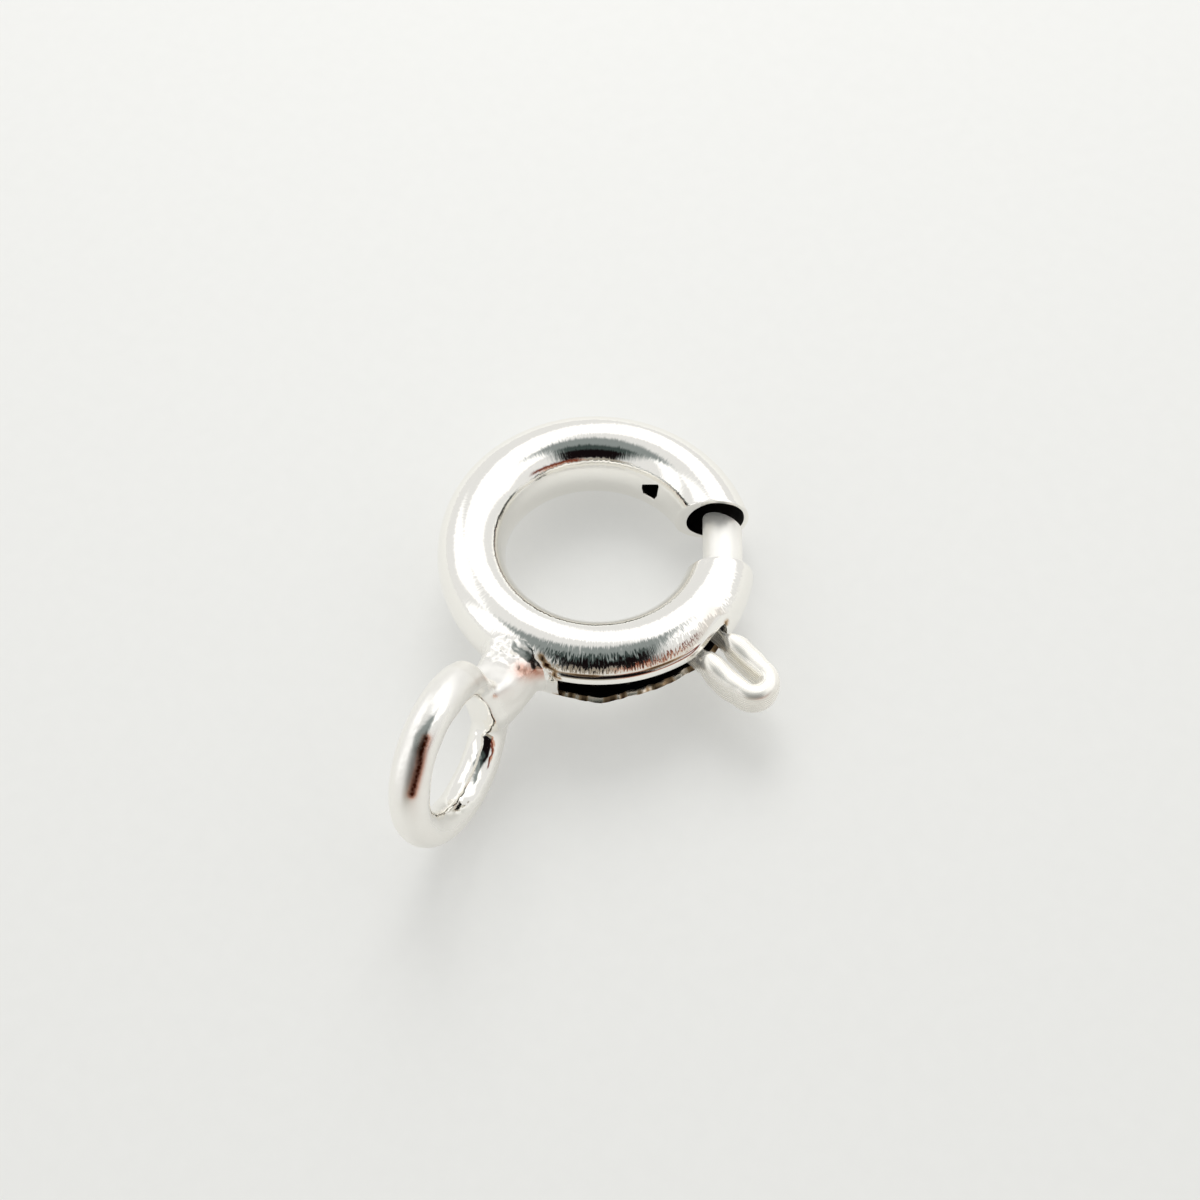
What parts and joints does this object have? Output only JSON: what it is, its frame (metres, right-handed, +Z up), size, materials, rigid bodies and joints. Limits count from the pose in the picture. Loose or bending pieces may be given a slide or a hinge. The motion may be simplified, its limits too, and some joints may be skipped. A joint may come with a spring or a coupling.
{
  "type": "spring ring clasp",
  "caption": "Spring ring clasp: a hollow ring with a gap that a sprung bolt closes, a thumb trigger in its slot and an upright end ring soldered on.",
  "frame": {"origin": "middle of the outline's base, on the surface that the clasp lies on", "axes": "+Z up from the surface; -Y towards the end ring; the trigger points to +X"},
  "size_m": [0.0074, 0.0096, 0.0035],
  "materials": {
    "polished_silver": "polished sterling silver with fine polishing lines",
    "spring_steel": "drawn steel wire"
  },
  "bodies": {
    "ring": {"ring_body": "polished_silver", "spring": "spring_steel"},
    "gate": {"bolt": "polished_silver"}
  },
  "joints": [
    {"name": "gate_slide", "type": "hinge", "parent": "ring", "child": "gate", "pos_m": [-0.00068, 0.00185, 0.00111], "axis": [0.0242, 0.1257, 0.9918], "range_deg": [-50, 0], "stiffness_Nm_per_rad": 0.003, "springref_deg": 11.46, "deforming": ["spring"]}
  ]
}
